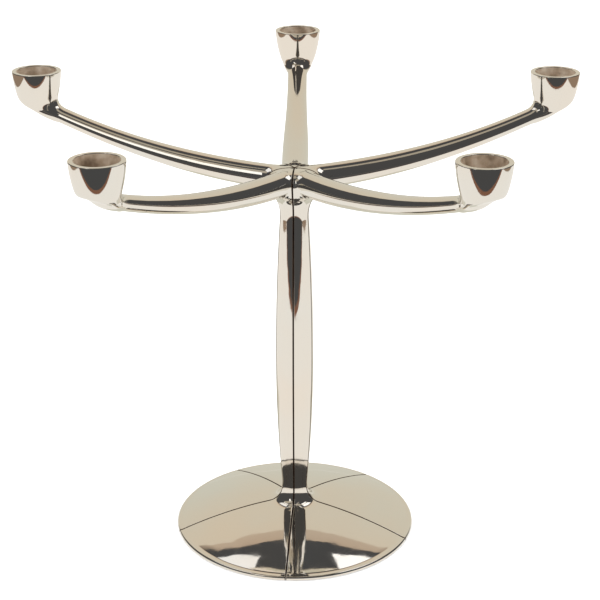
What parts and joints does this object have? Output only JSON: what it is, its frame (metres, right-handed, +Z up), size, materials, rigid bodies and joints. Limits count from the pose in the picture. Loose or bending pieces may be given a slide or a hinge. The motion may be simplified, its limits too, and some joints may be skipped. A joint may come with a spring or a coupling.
{
  "type": "candelabrum",
  "caption": "Polished free-standing candelabrum: equal castings, each with a candle cup, curved arm, part of the barrel-shaped stem and a sector of the domed foot, clamped round a tie rod.",
  "frame": {"origin": "on the stem's axis, at the face that rests on the table", "axes": "+Z up along the stem's axis, +Y along the rear arm, -Y towards the gap between the two front arms"},
  "size_m": [0.3852, 0.368, 0.3137],
  "materials": {
    "silver_plate": "silver-plated cast brass, mirror polished, satin inside the cups",
    "steel": "zinc-plated steel",
    "brass": "turned brass",
    "base_steel": "black-painted mild steel plate",
    "baize": "green wool baize, glued"
  },
  "bodies": {
    "root": {"branch_rear": "silver_plate", "branch_left": "silver_plate", "branch_front_left": "silver_plate", "branch_front_right": "silver_plate", "branch_right": "silver_plate", "clamp_cap": "brass", "tie_rod": "steel", "tie_nut": "steel", "tie_washer": "steel", "base_plate": "base_steel", "plate_screws": "steel", "stem_dowels": "steel", "foot_dowels": "steel", "felt_pad": "baize"}
  },
  "joints": []
}
